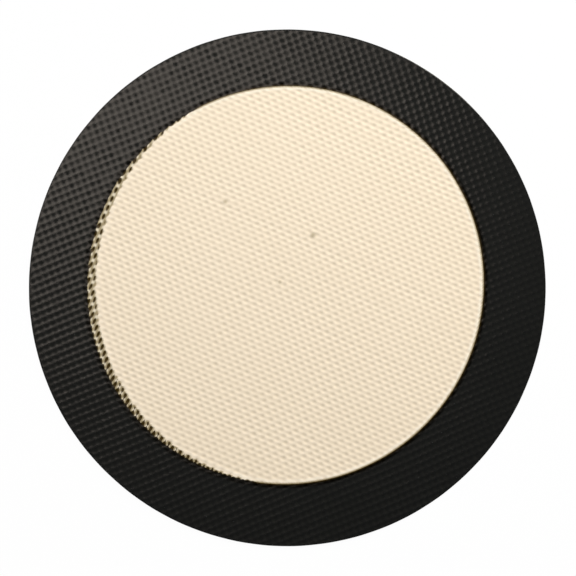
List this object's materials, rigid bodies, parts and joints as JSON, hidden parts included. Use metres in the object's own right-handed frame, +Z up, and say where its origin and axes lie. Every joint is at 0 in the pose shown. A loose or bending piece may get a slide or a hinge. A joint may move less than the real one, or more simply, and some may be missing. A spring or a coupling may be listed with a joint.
{
  "type": "round silicone baking mat",
  "caption": "Flat round baking mat of silicone-coated woven glass cloth, with a pale centre field and a wide black border, laid on a tray or worktop as a non-stick surface.",
  "frame": {"origin": "centre of the underside, on the surface that the mat lies on", "axes": "+Z up through the mat to the printed face; +X to the right and +Y to the top of the mat as pictured from above"},
  "size_m": [0.203, 0.203, 0.0008],
  "materials": {
    "pale_silicone": "satin silicone with the weave of the cloth showing through",
    "black_silicone": "satin silicone ink over the same weave",
    "glass_cloth": "plain weave of glass yarn, soaked with silicone"
  },
  "bodies": {
    "root": {"lower_coat": "pale_silicone", "glass_cloth": "glass_cloth", "upper_coat": "pale_silicone", "printed_border": "black_silicone", "edge_seal": "black_silicone"}
  },
  "joints": []
}
